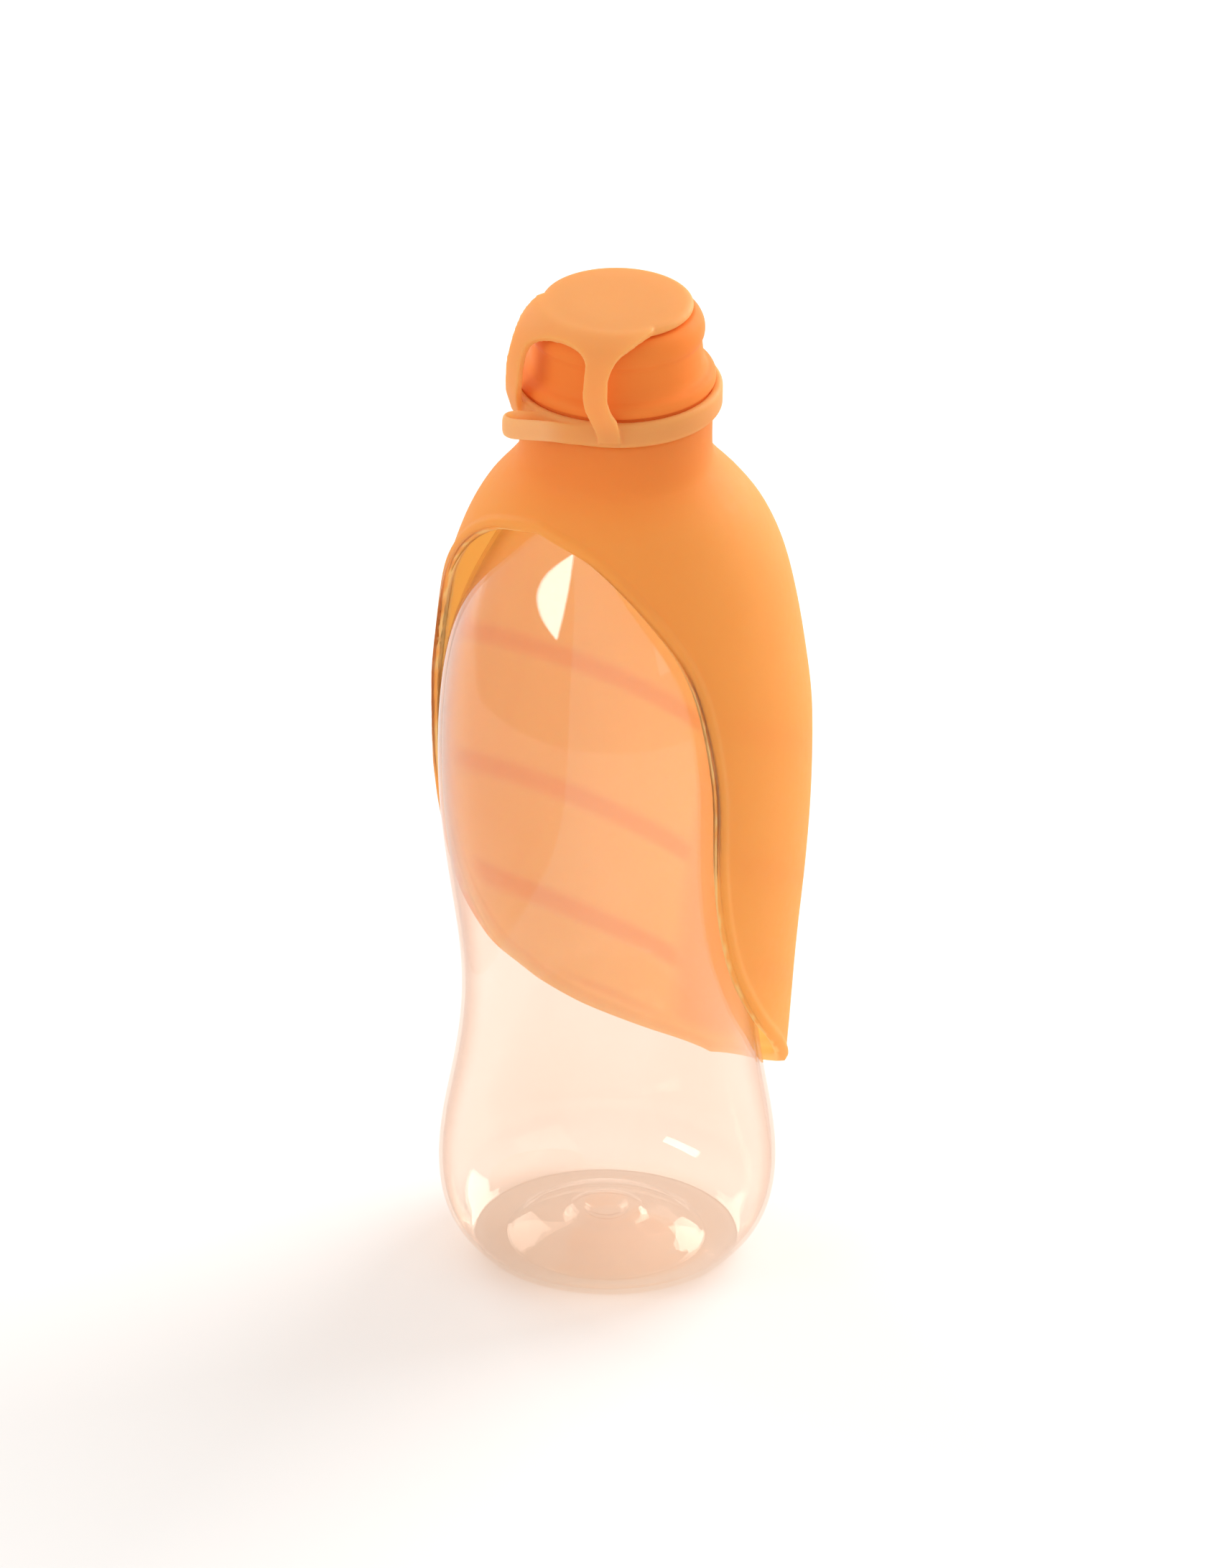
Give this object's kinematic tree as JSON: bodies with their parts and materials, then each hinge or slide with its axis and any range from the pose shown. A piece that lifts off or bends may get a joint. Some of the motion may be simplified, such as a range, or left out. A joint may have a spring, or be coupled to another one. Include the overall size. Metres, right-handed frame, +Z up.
{
  "type": "squeeze bottle with folding leaf bowl",
  "caption": "Clear waisted squeeze bottle with a soft leaf-shaped drinking bowl folded over its back, a stepped screw cap and a tethered soft stopper lid.",
  "frame": {"origin": "on the surface that the bottle stands on, under the middle of the whole object's bounding box; the bottle's own axis stands 5 mm in front of it", "axes": "+Z up along the bottle's axis; -Y is the front, with the leaf's window, the strap and the hang loop; +Y is the back, with the leaf; +X is the right"},
  "size_m": [0.0904, 0.0931, 0.2503],
  "materials": {
    "clear_bottle": "clear, faintly peach-tinted, glossy blow-moulded plastic",
    "cap_plastic": "satin orange moulded plastic",
    "gasket_silicone": "off-white soft silicone",
    "lid_silicone": "matte, slightly translucent orange silicone",
    "leaf_silicone": "matte, slightly translucent orange silicone"
  },
  "bodies": {
    "bottle": {"bottle_body": "clear_bottle"},
    "gasket": {"cap_gasket": "gasket_silicone"},
    "cap": {"screw_cap": "cap_plastic"},
    "tether": {"lid_tether": "lid_silicone"},
    "lid": {"lid_disc": "lid_silicone"},
    "leaf_sleeve": {"leaf_collar": "leaf_silicone"},
    "leaf_flap": {"leaf_blade": "leaf_silicone"}
  },
  "joints": [
    {"name": "cap_lift", "type": "slide", "parent": "bottle", "child": "gasket", "axis": [0, 0, 1], "range_m": [0, 0.004]},
    {"name": "cap_turn", "type": "hinge", "parent": "gasket", "child": "cap", "pos_m": [0, -0.005, 0.235], "axis": [0, 0, 1], "range_deg": [0, 360]},
    {"name": "ring_swivel", "type": "hinge", "parent": "cap", "child": "tether", "pos_m": [0, -0.005, 0.226], "axis": [0, 0, 1], "range_deg": [-45, 45]},
    {"name": "lid_flip", "type": "hinge", "parent": "tether", "child": "lid", "pos_m": [0, -0.0245, 0.2499], "axis": [1, 0, 0], "range_deg": [0, 150]},
    {"name": "leaf_swivel", "type": "hinge", "parent": "bottle", "child": "leaf_sleeve", "pos_m": [0, -0.005, 0.215], "axis": [0, 0, 1], "range_deg": [-45, 45]},
    {"name": "leaf_flip", "type": "hinge", "parent": "leaf_sleeve", "child": "leaf_flap", "pos_m": [0, 0.0374, 0.185], "axis": [1, 0, 0], "range_deg": [0, 120]}
  ],
  "couplings": [
    {"joint": "cap_lift", "follows": "cap_turn", "m_per_rad": 0.00063662}
  ]
}
